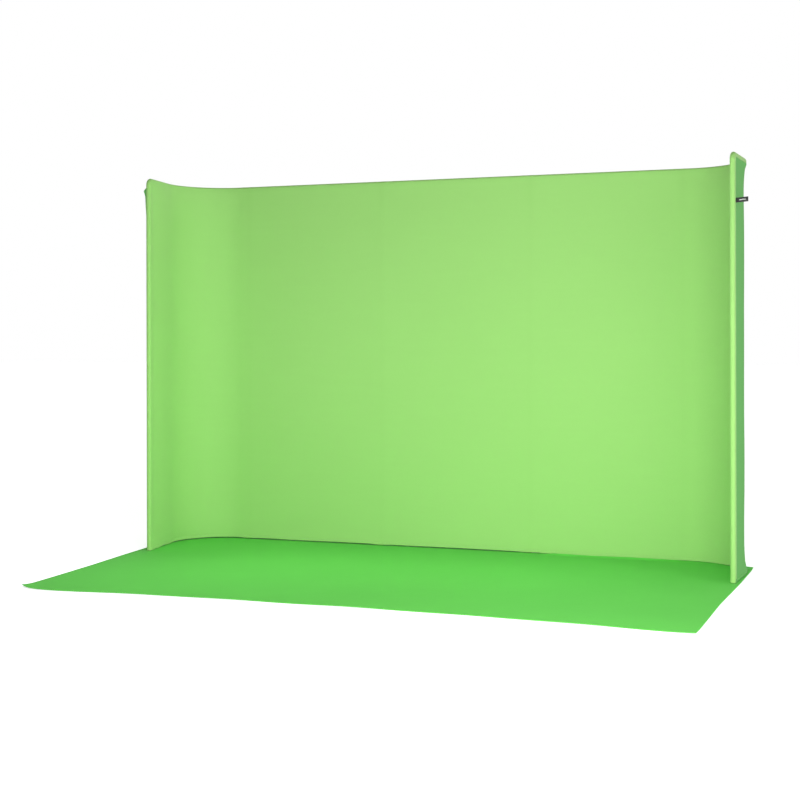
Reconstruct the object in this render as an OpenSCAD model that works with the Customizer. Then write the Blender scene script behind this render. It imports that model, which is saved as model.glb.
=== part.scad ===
// Free-standing U-shaped backdrop wall: a stretch fabric cover over a
// push-fit tube frame, standing on its own floor mat.
// Millimetres. X runs along the wall, Y points away from the stage,
// Z is up from the floor. The origin is on the floor at the middle.

/* [Overall] */
// Height from the floor to the top of the cover
overall_h = 2200; // [1900:10:2400]
// Front to back size of the floor mat
mat_depth = 1922; // [1840:2:2000]

/* [Wall plan] */
// Distance between the two inner posts
mid_bay_w = 916; // [800:2:1000]
// Distance between an inner post and the next outer post
side_bay_w = 877; // [800:1:900]
// Centreline radius of the two rounded corners
corner_r = 322; // [280:1:360]
// Angle that the wall turns through at each corner
corner_turn = 95.8; // [90:0.1:100]
// Straight run of each wing, up to its end post
wing_leg = 277.4; // [200:0.1:300]

/* [Frame] */
// Outer diameter of every tube
tube_d = 25; // [24:0.5:26]
// Wall thickness of the tubes
tube_wall = 1.5; // [1.2:0.1:1.8]
// Radial clearance of a spigot in its tube
spigot_gap = 0.05; // [0.03:0.01:0.08]
// Half length of a tee connector's body
tee_half = 24; // [20:1:26]
// Length of a tee's sideways spigots
rail_spigot = 26; // [22:1:26]
// Straight stub of the bent rail tube, before its corner
stub = 28; // [28:1:60]
// Length of a spigot that carries a post
post_spigot = 40; // [30:1:60]
// Bend radius of the elbow at a wing's end
elbow_r = 30; // [26:1:36]
// Height at which the posts divide
split_z = 1100; // [900:10:1300]
// Length of the spigot that joins two post sections
mid_spigot = 180; // [120:10:240]

/* [Cover] */
// Thickness of the fabric solid
cover_t = 1.2; // [1:0.1:1.4]
// Gap between the fabric and the tubes
cover_gap = 0.4; // [0.3:0.05:0.6]
// Height of the lower edge above the floor
cover_low = 4; // [3.5:0.5:8]
// Height of the sewn hem
hem_h = 18; // [14:1:19]
// Width of the label flag
label_h = 25; // [15:1:35]
// Length that the label flag stands out from the seam
label_out = 64; // [40:1:70]
// Height of the label flag's middle
label_z = 1950; // [1600:10:1960]

/* [Zip] */
// Distance from the end post's axis back to the zip's centre line
zip_s = 20; // [20:0.5:24]
// Height of the zip's upper end
zip_top = 2150; // [1800:10:2150]

/* [Floor mat] */
// Thickness of the mat
mat_t = 2; // [1.5:0.1:3]

/* [Hidden] */
$fn = 48;

tube_r = tube_d/2;
bore_r = tube_r - tube_wall;
spigot_r = bore_r - spigot_gap;
core_r = spigot_r - 2.45;             // bore inside the spigots
inner_x = mid_bay_w/2;
outer_x = inner_x + side_bay_w;
arc_x = outer_x + tee_half + stub;
wall_y = mat_depth/2 - 30;
arc_y = wall_y - corner_r;
low_z = mat_t + 0.3 + tube_r;         // bottom rail centreline
top_z = overall_h - cover_t - cover_gap - tube_r;
// end of the arc and of the wing, right-hand side
arc_end = [arc_x + corner_r*cos(90 - corner_turn), arc_y + corner_r*sin(90 - corner_turn)];
wing_dir = [cos(corner_turn), -sin(corner_turn)];
wing_end = arc_end + wing_leg*wing_dir;
f_in = tube_r + cover_gap;            // inner face of the fabric, from the centreline
f_out = f_in + cover_t;
hem_t = 0.7;
tape_t = 0.8;
tape_w = 24;
row_gap = 1.2;                        // between the two rows of teeth
tooth_w = 2.2;
tooth_t = 1.8;
slider_z = 22;                        // lower end of the closed slider
bend_step = 0.1;                      // the bend's wall stands proud by this, inside and out
corner_n = 32;                        // steps of the cover round a corner
wrap_n = 12;                          // and round an end post
btn_in = 14;                          // button or rivet, from the tee's face
btn_hole = 3.25;
rivet_hole = 2.0;

alu = [0.78, 0.79, 0.81];
nylon = [0.13, 0.13, 0.14];
steel = [0.62, 0.63, 0.65];
chroma = [0.57, 0.86, 0.44];
chroma_dark = [0.50, 0.80, 0.38];
mat_green = [0.35, 0.78, 0.30];

// ---------- helpers ----------
// Wing frame: origin on the end post's axis, +X out of the wing's front
// end, +Y out of the stage, for the right-hand wing
module at_right_wing() { translate([wing_end[0], wing_end[1], 0]) rotate([0, 0, -corner_turn]) children(); }
module at_left_wing() { mirror([1, 0, 0]) at_right_wing() children(); }
module rod_x(x0, x1, r) { translate([x0, 0, 0]) rotate([0, 90, 0]) cylinder(h = x1 - x0, r = r); }
module rod_z(z0, z1, r) { translate([0, 0, z0]) cylinder(h = z1 - z0, r = r); }
// box by its two corners
module span(a, b) { translate(a) cube(b - a); }
// bottom rail as drawn, top rail turned over
module low_rail() { translate([0, 0, low_z]) children(); }
module top_rail() { translate([0, 0, top_z]) mirror([0, 0, 1]) children(); }

// ---------- rail parts, drawn at z = 0 with their posts going up ----------
module straight_tube(x0, x1, hole0, hole1) {
    color(alu) translate([0, wall_y, 0]) difference() {
        rod_x(x0, x1, tube_r);
        rod_x(x0 - 1, x1 + 1, bore_r);
        translate([x0 + btn_in, 0, 0]) rod_z(0, tube_d, hole0);
        translate([x1 - btn_in, 0, 0]) rod_z(0, tube_d, hole1);
    }
}
module side_tube() { straight_tube(inner_x + tee_half, outer_x - tee_half, btn_hole, rivet_hole); }
module middle_tube() { straight_tube(-inner_x + tee_half, inner_x - tee_half, rivet_hole, rivet_hole); }

// bent rail tube: short stub, rounded corner, wing leg; the bend is a
// little stouter, and the straight ends are let 1 mm into its wall
module corner_tube() {
    color(alu) {
        translate([0, wall_y, 0]) difference() {
            rod_x(outer_x + tee_half, arc_x + 1, tube_r);
            rod_x(outer_x + tee_half - 1, arc_x + 2, bore_r);
            translate([outer_x + tee_half + btn_in, 0, 0]) rod_z(0, tube_d, btn_hole);
        }
        translate([arc_x, arc_y, 0]) rotate([0, 0, 90 - corner_turn])
            rotate_extrude(angle = corner_turn, $fn = 96) translate([corner_r, 0]) difference() {
                circle(r = tube_r + bend_step, $fn = 48);
                circle(r = bore_r - bend_step, $fn = 48);
            }
        at_right_wing() difference() {
            rod_x(-wing_leg - 1, -elbow_r, tube_r);
            rod_x(-wing_leg - 2, -elbow_r + 1, bore_r);
        }
    }
}
// tee at x, with the button on its outer side
module tee(x) {
    color(nylon) translate([x, wall_y, 0]) difference() {
        union() {
            rod_x(-tee_half, tee_half, tube_r);
            rod_x(-tee_half - rail_spigot, tee_half + rail_spigot, spigot_r);
            rod_z(0, tee_half, tube_r);
            rod_z(0, tee_half + post_spigot, spigot_r);
        }
        rod_x(tee_half - 6, tee_half + rail_spigot + 1, core_r);
        rod_x(-tee_half - rail_spigot - 1, -tee_half + 6, core_r);
        rod_z(tee_half - 4, tee_half + post_spigot + 1, core_r);
        translate([tee_half + btn_in, 0, 0]) rod_z(0, tube_d, btn_hole);
        translate([-tee_half - btn_in, 0, 0]) rod_z(0, tube_d, rivet_hole);
    }
}
module elbow() {
    color(nylon) at_right_wing() {
        translate([-elbow_r, 0, elbow_r]) rotate([90, 0, 0]) rotate([0, 0, -90])
            rotate_extrude(angle = 90, $fn = 64) translate([elbow_r, 0]) circle(r = tube_r, $fn = 48);
        rod_x(-elbow_r - rail_spigot, -elbow_r, spigot_r);
        rod_z(elbow_r, elbow_r + post_spigot, spigot_r);
    }
}
// blind rivet standing along +Z over a tube's axis
module rivet() {
    rod_z(7.5, tube_r + 0.5, rivet_hole - 0.05);
    rod_z(tube_r, tube_r + 1, 3.5);
    rod_z(core_r - 1.6, core_r - 0.5, 2.6);
}
// rivets of one rail, where a tee stays on its tube
module rail_rivets() {
    for (s = [-1, 1]) {
        translate([s*(outer_x - tee_half - btn_in), wall_y, 0]) rivet();
        translate([s*(inner_x - tee_half - btn_in), wall_y, 0]) rivet();
    }
}
// sprung button and its bent leaf, button up, bend towards -X
module snap_button() {
    color(steel) {
        rod_z(7.0, tube_r + 1.3, 2.8);
        translate([0, 0, tube_r + 1.3]) intersection() {
            scale(1) sphere(r = 2.8, $fn = 32);
            rod_z(0, 0.9, 4);
        }
        span([-13, -3, 6.8], [4, 3, 7.6]);
        span([-13, -3, -2.4], [4, 3, -1.6]);
        translate([-13, 3, 2.6]) rotate([90, 0, 0]) difference() {
            cylinder(h = 6, r = 5);
            translate([0, 0, -1]) cylinder(h = 8, r = 4.2);
            translate([0, -6, -1]) cube([6, 12, 8]);
        }
    }
}
// place of each button: 1 outer left, 2 inner left, 3 inner right, 4 outer right
module button_at(i) {
    x = (i == 1 || i == 4) ? outer_x : inner_x;
    if (i <= 2) mirror([1, 0, 0]) translate([x + tee_half + btn_in, wall_y, 0]) snap_button();
    else translate([x + tee_half + btn_in, wall_y, 0]) snap_button();
}

// ---------- posts ----------
module at_post(k) {   // k = 0 end, 1 outer, 2 inner, right-hand half
    if (k == 0) at_right_wing() rotate([0, 0, 180]) children();
    else translate([k == 1 ? outer_x : inner_x, wall_y, 0]) children();
}
module at_all_posts() {
    for (k = [0:2]) { at_post(k) children(); mirror([1, 0, 0]) at_post(k) children(); }
}
module lower_post(k) {
    z0 = low_z + (k == 0 ? elbow_r : tee_half);
    color(alu) at_post(k) difference() {
        rod_z(z0, split_z, tube_r);
        rod_z(z0 - 1, split_z + 1, bore_r);
        translate([0, 0, split_z - 20]) rod_x(0, tube_d, rivet_hole);
    }
}
module upper_post(k) {
    z1 = top_z - (k == 0 ? elbow_r : tee_half);
    color(alu) at_post(k) difference() {
        rod_z(split_z, z1, tube_r);
        rod_z(split_z - 1, z1 + 1, bore_r);
    }
}
module join_spigot() {
    difference() {
        rod_z(split_z - mid_spigot/2, split_z + mid_spigot/2, spigot_r);
        rod_z(split_z - mid_spigot/2 - 1, split_z + mid_spigot/2 + 1, core_r);
        translate([0, 0, split_z - 20]) rod_x(0, tube_d, rivet_hole);
    }
}

// ---------- cover ----------
// point in plan in the right wing's frame: x out of its end, y outwards
function wing_pt(x, y) = [wing_end[0] + x*wing_dir[0] - y*wing_dir[1],
                          wing_end[1] + x*wing_dir[1] + y*wing_dir[0]];
// rounded right corner at offset o, from the wing to the wall
function corner_pts(o) = [for (i = [corner_n:-1:0]) let (t = corner_turn*i/corner_n)
    [arc_x + (corner_r + o)*sin(t), arc_y + (corner_r + o)*cos(t)]];
// round the right end post at radius r, from the outer to the stage side
function wrap_pts(r) = [for (i = [0:wrap_n]) let (t = 90 - 180*i/wrap_n) wing_pt(r*cos(t), r*sin(t))];
function reversed(p) = [for (i = [len(p) - 1:-1:0]) p[i]];
// the same points on the left, in the opposite order
function mirrored(p) = [for (i = [len(p) - 1:-1:0]) [-p[i][0], p[i][1]]];
// stage side, from the right end post's outer side to the left one's
function front_core(r) = concat(wrap_pts(r), corner_pts(-r), mirrored(concat(wrap_pts(r), corner_pts(-r))));
function front_path(r, back_left, back_right) =
    concat([wing_pt(-back_right, r)], front_core(r), mirrored([wing_pt(-back_left, r)]));
// outer side, from right to left, stopping short of the end posts
function rear_path(r, stop_left, stop_right) = concat([wing_pt(-stop_right, r)], corner_pts(r),
    mirrored(concat([wing_pt(-stop_left, r)], corner_pts(r))));
// whole way round, from the zip along the outer side, right end, stage side
function hem_path(r) = concat(reversed(rear_path(r, zip_s + tape_w/2, seam_s)), front_core(r),
    mirrored([wing_pt(-(zip_s - tape_w/2), r)]));
module band(one, other, z0, z1) {
    translate([0, 0, z0]) linear_extrude(z1 - z0) polygon(concat(one, reversed(other)));
}
seam_s = 13;
rear_stop = 2*zip_s - seam_s;         // rear panel's edge at the zip
module cover_front() {
    color(chroma) band(front_path(f_out, seam_s, seam_s), front_path(f_in, seam_s, seam_s),
                       cover_low, overall_h - cover_t);
}
module cover_rear() {
    color(chroma_dark) band(rear_path(f_out, rear_stop, seam_s), rear_path(f_in, rear_stop, seam_s),
                            cover_low, overall_h - cover_t);
}
// the strip that closes the cover over the top rail
module cover_top() {
    color(chroma_dark) translate([0, 0, overall_h - cover_t]) linear_extrude(cover_t)
        polygon(concat(front_core(f_out), reversed(rear_path(f_out, rear_stop, seam_s))));
}
module cover_hem() {
    color(chroma_dark) band(hem_path(f_out + hem_t), hem_path(f_out), cover_low, cover_low + hem_h);
}
module zip_tapes() {
    color(chroma_dark) at_left_wing() for (s = [-1, 1])
        translate([-zip_s, 0, 0])
            span([s > 0 ? row_gap/2 : -tape_w/2, f_out, cover_low], [s > 0 ? tape_w/2 : -row_gap/2, f_out + tape_t, zip_top + 10]);
}
module zip_teeth() {
    color(chroma) at_left_wing() for (s = [-1, 1])
        translate([-zip_s + s*(row_gap + tooth_w)/2, 0, 0])
            span([-tooth_w/2, f_out + tape_t, 14], [tooth_w/2, f_out + tape_t + tooth_t, zip_top]);
}
module zip_stops() {
    color(nylon) at_left_wing() translate([-zip_s, f_out + tape_t, 0]) {
        for (s = [-1, 1]) translate([s*(row_gap + tooth_w)/2, 0, 0])
            span([-tooth_w/2, 0, 7], [tooth_w/2, tooth_t + 0.2, 13.5]);
        span([-row_gap/2 - tooth_w, 0, zip_top + 0.3], [row_gap/2 + tooth_w, tooth_t + 0.2, zip_top + 6]);
    }
}
pin_y = 6.9;        // pull's pin, out from the tape's inner face
pin_z = slider_z + 11;
module zip_slider() {
    color(nylon) at_left_wing() translate([-zip_s, f_out, 0]) {
        span([-5, tape_t + tooth_t + 0.3, slider_z], [5, tape_t + tooth_t + 1.7, slider_z + 16]);
        for (s = [-1, 1]) translate([s*4.1, 0, 0])
            span([-0.9, tape_t + 0.3, slider_z], [0.9, tape_t + tooth_t + 0.4, slider_z + 16]);
        span([-5, -cover_t - 0.1, slider_z], [5, -0.3, slider_z + 16]);
        span([-0.3, -0.4, slider_z], [0.3, tape_t + tooth_t + 0.4, slider_z + 6]);
        for (s = [-1, 1]) translate([s*3, 0, 0])
            span([-0.5, tape_t + tooth_t + 1.6, pin_z - 2], [0.5, pin_y + 1.4, pin_z + 2]);
        translate([0, pin_y, pin_z]) rod_x(-3, 3, 1);
    }
}
module zip_pull() {
    color(nylon) at_left_wing() translate([-zip_s, f_out + pin_y, pin_z]) difference() {
        union() {
            rod_x(-2.1, 2.1, 2.4);
            span([-2.1, -0.7, -12], [2.1, 0.7, 0]);
            span([-3.5, -0.7, -25], [3.5, 0.7, -9]);
        }
        rod_x(-3, 3, 1.05);
    }
}
module woven_label() {
    color([0.05, 0.05, 0.06]) at_right_wing() translate([-seam_s, f_out, label_z])
        span([-0.4, 0, -label_h/2], [0.4, label_out, label_h/2]);
}

// ---------- floor mat ----------
module floor_mat() {
    y = mat_depth/2;
    color(mat_green) linear_extrude(mat_t) polygon([
        [-1713, -y + 61], [1638, -y], [1740, y - 137], [1400, y],
        [-1400, y], [-1758, y - 130], [-1750, 300], [-1728, -244]]);
}

floor_mat();
low_rail() mirror([1, 0, 0]) side_tube();  // bottom_tube_left
low_rail() middle_tube();  // bottom_tube_middle
low_rail() side_tube();  // bottom_tube_right
low_rail() mirror([1, 0, 0]) corner_tube();  // bottom_corner_tube_left
low_rail() corner_tube();  // bottom_corner_tube_right
low_rail() mirror([1, 0, 0]) tee(outer_x);  // bottom_tee_outer_left
low_rail() mirror([1, 0, 0]) tee(inner_x);  // bottom_tee_inner_left
low_rail() tee(inner_x);  // bottom_tee_inner_right
low_rail() tee(outer_x);  // bottom_tee_outer_right
low_rail() mirror([1, 0, 0]) elbow();  // bottom_elbow_left
low_rail() elbow();  // bottom_elbow_right
mirror([1, 0, 0]) lower_post(0);  // lower_post_end_left
mirror([1, 0, 0]) lower_post(1);  // lower_post_outer_left
mirror([1, 0, 0]) lower_post(2);  // lower_post_inner_left
lower_post(2);  // lower_post_inner_right
lower_post(1);  // lower_post_outer_right
lower_post(0);  // lower_post_end_right
color(alu) at_all_posts() join_spigot();  // post_join_spigots
color(steel) {  // lower_rivets
    low_rail() rail_rivets();
    at_all_posts() translate([0, 0, split_z - 20]) rotate([0, 90, 0]) rivet();
}
top_rail() mirror([1, 0, 0]) side_tube();  // top_tube_left
top_rail() middle_tube();  // top_tube_middle
top_rail() side_tube();  // top_tube_right
top_rail() mirror([1, 0, 0]) corner_tube();  // top_corner_tube_left
top_rail() corner_tube();  // top_corner_tube_right
top_rail() mirror([1, 0, 0]) tee(outer_x);  // top_tee_outer_left
top_rail() mirror([1, 0, 0]) tee(inner_x);  // top_tee_inner_left
top_rail() tee(inner_x);  // top_tee_inner_right
top_rail() tee(outer_x);  // top_tee_outer_right
top_rail() mirror([1, 0, 0]) elbow();  // top_elbow_left
top_rail() elbow();  // top_elbow_right
mirror([1, 0, 0]) upper_post(0);  // upper_post_end_left
mirror([1, 0, 0]) upper_post(1);  // upper_post_outer_left
mirror([1, 0, 0]) upper_post(2);  // upper_post_inner_left
upper_post(2);  // upper_post_inner_right
upper_post(1);  // upper_post_outer_right
upper_post(0);  // upper_post_end_right
color(steel) top_rail() rail_rivets();  // upper_rivets
low_rail() button_at(1);  // bottom_snap_button_1
low_rail() button_at(2);  // bottom_snap_button_2
low_rail() button_at(3);  // bottom_snap_button_3
low_rail() button_at(4);  // bottom_snap_button_4
top_rail() button_at(1);  // top_snap_button_1
top_rail() button_at(2);  // top_snap_button_2
top_rail() button_at(3);  // top_snap_button_3
top_rail() button_at(4);  // top_snap_button_4
cover_front();
cover_rear();
cover_top();
cover_hem();
zip_tapes();
zip_teeth();
zip_stops();
zip_slider();
zip_pull();
woven_label();
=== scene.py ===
import math

import bpy
import numpy as np
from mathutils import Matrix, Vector

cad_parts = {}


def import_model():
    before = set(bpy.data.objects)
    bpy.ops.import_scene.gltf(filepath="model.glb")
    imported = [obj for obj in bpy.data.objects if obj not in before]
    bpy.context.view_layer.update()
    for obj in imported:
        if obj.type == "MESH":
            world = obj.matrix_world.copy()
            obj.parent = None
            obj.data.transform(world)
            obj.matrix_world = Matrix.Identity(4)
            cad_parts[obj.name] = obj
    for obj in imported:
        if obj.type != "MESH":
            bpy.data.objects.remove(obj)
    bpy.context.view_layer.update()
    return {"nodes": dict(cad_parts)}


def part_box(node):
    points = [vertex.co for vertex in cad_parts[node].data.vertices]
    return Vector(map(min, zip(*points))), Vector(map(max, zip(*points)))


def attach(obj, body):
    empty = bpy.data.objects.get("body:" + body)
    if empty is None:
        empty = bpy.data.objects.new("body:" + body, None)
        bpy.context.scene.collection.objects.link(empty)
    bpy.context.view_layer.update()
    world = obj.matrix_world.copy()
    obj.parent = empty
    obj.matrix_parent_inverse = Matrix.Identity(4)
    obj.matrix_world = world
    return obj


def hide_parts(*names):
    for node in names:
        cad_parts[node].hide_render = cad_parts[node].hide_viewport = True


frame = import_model()
NODES = frame["nodes"]
RNG = np.random.default_rng(7)

# ---------------------------------------------------------------- plan of the wall
WALL_Y = 0.931                       # rail centreline
ARC_X = 1.387                        # start of the rounded corner
ARC_R = 0.322
TURN = math.radians(95.8)
WING = 0.2774
ARC_Y = WALL_Y - ARC_R
U_ARC = ARC_X
U_WING = ARC_X + ARC_R * TURN
U_END = U_WING + WING                # end post's axis, along the developed wall
LOW_Z = 0.0148
TOP_Z = 2.1859                       # top rail's centreline
Z_LOW = 0.004                        # lower edge of the cover
Z_ELBOW = 0.030
POSTS_U = np.array([-U_END, -1.335, -0.458, 0.458, 1.335, U_END])
R_COVER = 0.0139                     # outer face of the cloth, from the tube's axis
CLOTH_T = 0.0007
SEAM_S = 0.013                       # seam, behind the end post's axis
ZIP_S = 0.020
ZIP_TOP = 2.150


def plan(u):
    """Centreline point and outward normal in plan, u metres along the wall from its middle."""
    u = np.asarray(u, float)
    a = np.abs(u)
    sgn = np.where(u < 0, -1.0, 1.0)
    th = np.clip((a - U_ARC) / ARC_R, 0.0, TURN)
    cx = np.minimum(a, U_ARC) + ARC_R * np.sin(th)
    cy = ARC_Y + ARC_R * np.cos(th)
    over = np.maximum(a - U_WING, 0.0)
    cx = cx + over * math.cos(TURN)
    cy = cy - over * math.sin(TURN)
    return np.stack([sgn * cx, cy], -1), np.stack([sgn * np.sin(th), np.cos(th)], -1)


def world(u, z, y):
    """From the developed wall (u along it, z up, y out of the stage) to the room."""
    c, n = plan(u)
    y = np.asarray(y, float)
    z = np.asarray(z, float) + 0.0 * y
    return np.stack([c[..., 0] + n[..., 0] * y, c[..., 1] + n[..., 1] * y, z], -1)


def smooth(x, a, b):
    t = np.clip((np.asarray(x, float) - a) / (b - a), 0.0, 1.0)
    return t * t * (3 - 2 * t)


def post_distance(u):
    return np.min(np.abs(np.asarray(u, float)[..., None] - POSTS_U), axis=-1)


def waves(seed, n, lo, hi):
    """A fixed sum of soft waves with wavelengths from lo to hi metres, in about -1 to 1."""
    g = np.random.default_rng(seed)
    k = [(2 * math.pi / g.uniform(lo, hi), g.uniform(0, 2 * math.pi), g.uniform(0, 2 * math.pi)) for _ in range(n)]

    def f(u, z):
        s = 0.0
        for w, a, ph in k:
            s = s + np.sin(w * (np.cos(a) * u + np.sin(a) * z) + ph)
        return s / n * 1.6
    return f


broad = waves(3, 9, 0.55, 1.3)
middle = waves(5, 12, 0.18, 0.42)
fine = waves(9, 14, 0.06, 0.12)


def hem_lift(u):
    """How far the lower edge stands off the mat, along the wall."""
    u = np.asarray(u, float)
    g = 0.0052 * smooth(u, -1.93, -1.86) * (1 - smooth(u, 0.50, 0.55))
    g = g * (0.86 + 0.12 * np.sin(u * 9.0 + 1.0) + 0.08 * np.sin(u * 31.0))
    # lower where a fitting stands behind it
    g = g * (1 - 0.75 * np.exp(-((np.abs(u) - 0.458) / 0.045) ** 2) - 0.6 * np.exp(-((u + 1.335) / 0.045) ** 2))
    g = g + 0.0026 * smooth(np.abs(u), U_ARC + 0.22, U_ARC + 0.30) * (1 - smooth(np.abs(u), U_WING - 0.05, U_WING + 0.05)) * (u > 0)
    for at, high, wide in ((-2.025, 0.0052, 0.034), (-2.138, 0.0040, 0.012), (-2.164, 0.0046, 0.007), (-2.186, 0.0040, 0.007)):
        g = g + high * np.exp(-((u - at) / wide) ** 2)
    return np.maximum(g, 0.0)


def corner_waist(u, z):
    """The stretched cloth draws in across each rounded corner, away from the rails."""
    a = np.abs(np.asarray(u, float))
    t = np.clip((a - 1.335) / (U_END - 1.335), 0, 1)
    f = np.sin(math.pi * np.clip(t * 0.97 + 0.015, 0, 1)) ** 1.1
    g = (1 - np.exp(-np.maximum(z - 0.020, 0) / 0.040)) * (1 - np.exp(-np.maximum(TOP_Z - 0.008 - z, 0) / 0.045))
    return 0.013 * f * g


def slack(u, z):
    """0 where a tube is right behind the cloth, 1 well away from posts and rails."""
    d = post_distance(u)
    return smooth(d, 0.010, 0.10) * smooth(z, 0.03, 0.16) * (1 - smooth(z, TOP_Z - 0.16, TOP_Z - 0.022))


def sag_at(u, z, deep):
    """Dip of the cloth between tubes, nothing where a tube holds it."""
    u = np.asarray(u, float)
    posts = np.min(np.abs(u[..., None] - POSTS_U[1:-1]), axis=-1)
    rail = np.minimum(np.abs(z - TOP_Z), np.abs(z - LOW_Z))
    return deep * smooth(posts, 0.003, 0.060) * smooth(U_END - np.abs(u), 0.003, 0.045) * smooth(rail, 0.006, 0.045)


def crease(u, z, p0, p1, deep, width):
    """A fold along the line from p0 to p1: steep on one side, soft on the other, fading at its far end."""
    p0, p1 = np.array(p0), np.array(p1)
    d = p1 - p0
    L = math.hypot(*d)
    d = d / L
    t = ((u - p0[0]) * d[0] + (z - p0[1]) * d[1]) / L
    side = (u - p0[0]) * -d[1] + (z - p0[1]) * d[0]
    prof = np.exp(-(np.maximum(side, 0) / width) ** 2 - (np.maximum(-side, 0) / (width * 2.4)) ** 2)
    return deep * prof * smooth(t, -0.25, 0.15) * (1 - smooth(t, 0.6, 1.35))


def front_y(u, z):
    """Stage-side cloth, off the tube centreline (negative is towards the stage)."""
    y = -R_COVER + sag_at(u, z, 0.0015) - corner_waist(u, z)
    # it dips more where it leaves the end posts
    e = U_END - np.abs(u)
    away = smooth(np.minimum(np.abs(z - TOP_Z), np.abs(z - LOW_Z)), 0.02, 0.07)
    y = y + 0.0032 * smooth(e, 0.001, 0.034) * (1 - smooth(e, 0.05, 0.17)) * away
    s = slack(u, z)
    y = y + s * (0.0016 * broad(u, z) + 0.0007 * middle(u, z))
    # faint pull lines that fan out of the tees at the top and bottom
    for p in POSTS_U[1:-1]:
        for zz, sg in ((TOP_Z, -1), (LOW_Z, 1)):
            du, dz = u - p, np.maximum((z - zz) * sg, 1e-4)
            r = np.sqrt(du * du + dz * dz)
            ang = np.arctan2(du, dz)
            y = y + 0.00042 * np.sin(ang * 11 + p * 5) * smooth(r, 0.02, 0.09) * np.exp(-r / 0.16)
    # fan of small folds under the rail in the left corner
    du, dz = u + 1.66, np.maximum(TOP_Z - z, 1e-4)
    r = np.sqrt(du * du + dz * dz)
    y = y + 0.0009 * np.sin(np.arctan2(du, dz) * 9 + 0.6) * smooth(r, 0.015, 0.06) * np.exp(-r / 0.10)
    # one sharper fold runs down from the rail there
    y = y + crease(u, z, (-1.965, 2.186), (-1.885, 2.168), 0.0034, 0.0085)
    # soft ridge of spare cloth over the middle bay's lower edge
    y = y - 0.0022 * np.exp(-((z - 0.062) / 0.026) ** 2) * smooth(u, -0.44, -0.30) * (1 - smooth(u, 0.34, 0.45))
    return y


def rear_y(u, z):
    sag = sag_at(u, z, 0.0013)
    s = slack(u, z)
    # room for the zip's slider where it parks at the top
    park = 0.0009 * np.exp(-((z - 2.134) / 0.028) ** 2) * np.exp(-((u + U_END - 0.020) / 0.016) ** 2)
    return R_COVER - sag - park - corner_waist(u, z) + s * (0.0016 * broad(u + 3.1, z) + 0.0009 * middle(u + 1.3, z + 0.7))


# ---------------------------------------------------------------- small mesh helpers
def link(o):
    bpy.context.scene.collection.objects.link(o)
    return o


def mesh_piece(name, verts, faces, mat, uv=None, smooth_shade=True, attrs=None):
    verts = np.asarray(verts, float).reshape(-1, 3)
    me = bpy.data.meshes.new(name)
    me.from_pydata(verts.tolist(), [], [tuple(int(i) for i in f) for f in faces])
    if uv is not None:
        layer = me.uv_layers.new(name="cloth")
        idx = np.empty(len(me.loops), np.int32)
        me.loops.foreach_get("vertex_index", idx)
        layer.data.foreach_set("uv", np.asarray(uv, np.float32).reshape(-1, 2)[idx].ravel())
    for key, val in (attrs or {}).items():
        a = me.attributes.new(key, "FLOAT", "POINT")
        a.data.foreach_set("value", np.asarray(val, np.float32).ravel())
    me.polygons.foreach_set("use_smooth", [bool(smooth_shade)] * len(me.polygons))
    me.materials.append(mat)
    me.update()
    return link(bpy.data.objects.new(name, me))


def grid_faces(rows, cols, start=0, flip=False, wrap=False):
    out = []
    for i in range(rows - 1):
        for j in range(cols - (0 if wrap else 1)):
            k = (j + 1) % cols
            q = (start + i * cols + j, start + i * cols + k, start + (i + 1) * cols + k, start + (i + 1) * cols + j)
            out.append(q[::-1] if flip else q)
    return out


def thicken(o, t, offset=-1.0):
    m = o.modifiers.new("thickness", "SOLIDIFY")
    m.thickness = t
    m.offset = offset
    m.use_even_offset = False
    return o


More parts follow.
